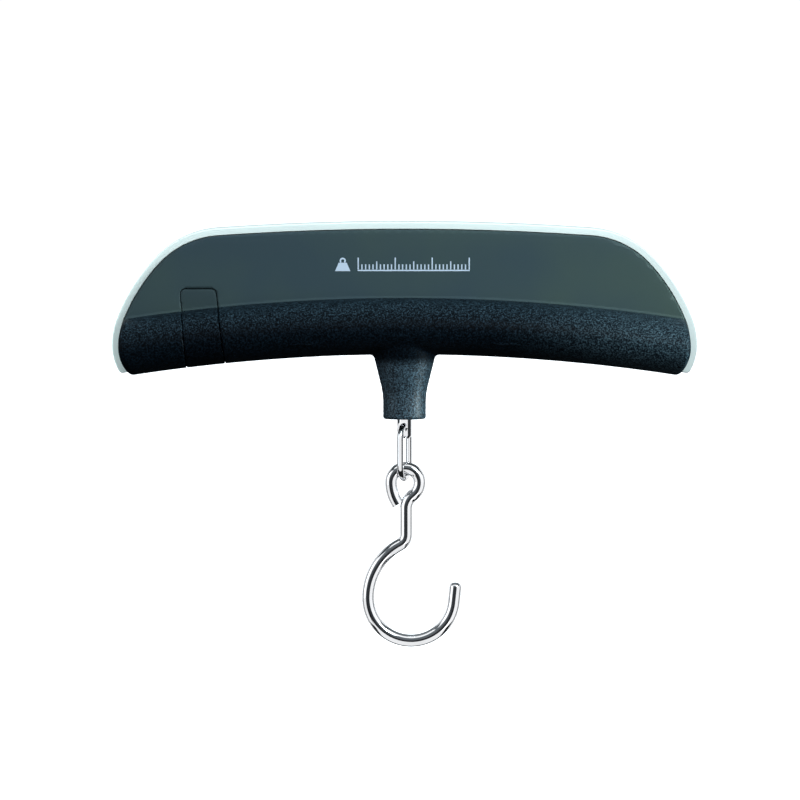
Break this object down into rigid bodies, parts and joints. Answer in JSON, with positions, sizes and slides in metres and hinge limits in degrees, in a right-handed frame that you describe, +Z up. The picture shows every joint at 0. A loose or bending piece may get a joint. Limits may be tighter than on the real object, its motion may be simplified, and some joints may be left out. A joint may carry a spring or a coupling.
{
  "type": "luggage scale",
  "caption": "Hand-held digital luggage scale: curved grip casing with display and keys, battery door, and a swivelling rod, link and S-hook that hang from a flared stem.",
  "frame": {"origin": "middle of the grip roll, on the line of pull", "axes": "+X along the handle, to the right when the battery door faces the viewer; +Y from the battery-door side towards the display side; +Z up, away from the hook"},
  "size_m": [0.13, 0.0268, 0.0942],
  "materials": {
    "rear_plastic": "fine sheen on the panel, pebbled on the grip",
    "cover_plastic": "satin, pale silver with a mint cast",
    "trim_plastic": "polished",
    "key_plastic": "satin",
    "window_acrylic": "clear, polished",
    "black_plastic": "moulded",
    "white_plastic": "moulded",
    "foam": "soft",
    "lcd": "polished",
    "board": "solder mask",
    "parts_black": "moulded",
    "steel": "bright",
    "hook_chrome": "polished",
    "beam_aluminium": "machined",
    "gauge_film": "film",
    "wire_red": "insulation",
    "wire_black": "insulation",
    "wire_green": "insulation",
    "wire_white": "insulation"
  },
  "bodies": {
    "casing": {"rear_housing": "rear_plastic", "front_cover": "cover_plastic", "display_window": "window_acrylic", "window_gasket": "foam", "display_bezel": "trim_plastic", "lcd_glass": "lcd", "lcd_frame": "black_plastic", "zebra_strips": "foam", "backlight_guide": "white_plastic", "backlight_led": "white_plastic", "power_switch_body": "black_plastic", "unit_switch_body": "black_plastic", "circuit_board": "board", "chip_blob": "parts_black", "board_components": "parts_black", "board_screws": "steel", "battery_holder": "black_plastic", "coin_cell": "steel", "cell_spring_contact": "steel", "cell_plate_contact": "steel", "battery_wire_positive": "wire_red", "battery_wire_negative": "wire_black", "load_cell": "beam_aluminium", "strain_gauges": "gauge_film", "load_cell_screws": "steel", "load_cell_washers": "steel", "signal_wire_red": "wire_red", "signal_wire_black": "wire_black", "signal_wire_green": "wire_green", "signal_wire_white": "wire_white", "rod_washer": "steel", "stem_bush": "white_plastic"},
    "battery_cover": {"battery_door": "rear_plastic"},
    "power_key": {"power_button": "key_plastic", "power_switch_plunger": "white_plastic"},
    "unit_key": {"unit_button": "key_plastic", "unit_switch_plunger": "white_plastic"},
    "swivel": {"pull_rod": "hook_chrome", "rod_clip": "steel"},
    "chain_link": {"link": "hook_chrome"},
    "luggage_hook": {"hook": "hook_chrome"}
  },
  "joints": [
    {"name": "battery_cover_pull", "type": "slide", "parent": "casing", "child": "battery_cover", "axis": [0, -1, 0], "range_m": [0, 0.025]},
    {"name": "power_key_press", "type": "slide", "parent": "casing", "child": "power_key", "axis": [0, -1, 0], "range_m": [0, 0.0005], "stiffness_N_per_m": 1500, "springref_m": -0.0003},
    {"name": "unit_key_press", "type": "slide", "parent": "casing", "child": "unit_key", "axis": [0, -1, 0], "range_m": [0, 0.0005], "stiffness_N_per_m": 1500, "springref_m": -0.0003},
    {"name": "rod_swivel", "type": "hinge", "parent": "casing", "child": "swivel", "pos_m": [0, 0, 0], "axis": [0, 0, 1], "continuous": true},
    {"name": "link_swing", "type": "hinge", "parent": "swivel", "child": "chain_link", "pos_m": [0, 0, -0.0224], "axis": [0.342, 0.9397, 0], "range_deg": [-40, 40]},
    {"name": "hook_swing", "type": "hinge", "parent": "chain_link", "child": "luggage_hook", "pos_m": [0.00018, 0, -0.0315], "axis": [1, 0, 0], "range_deg": [-25, 25]}
  ]
}
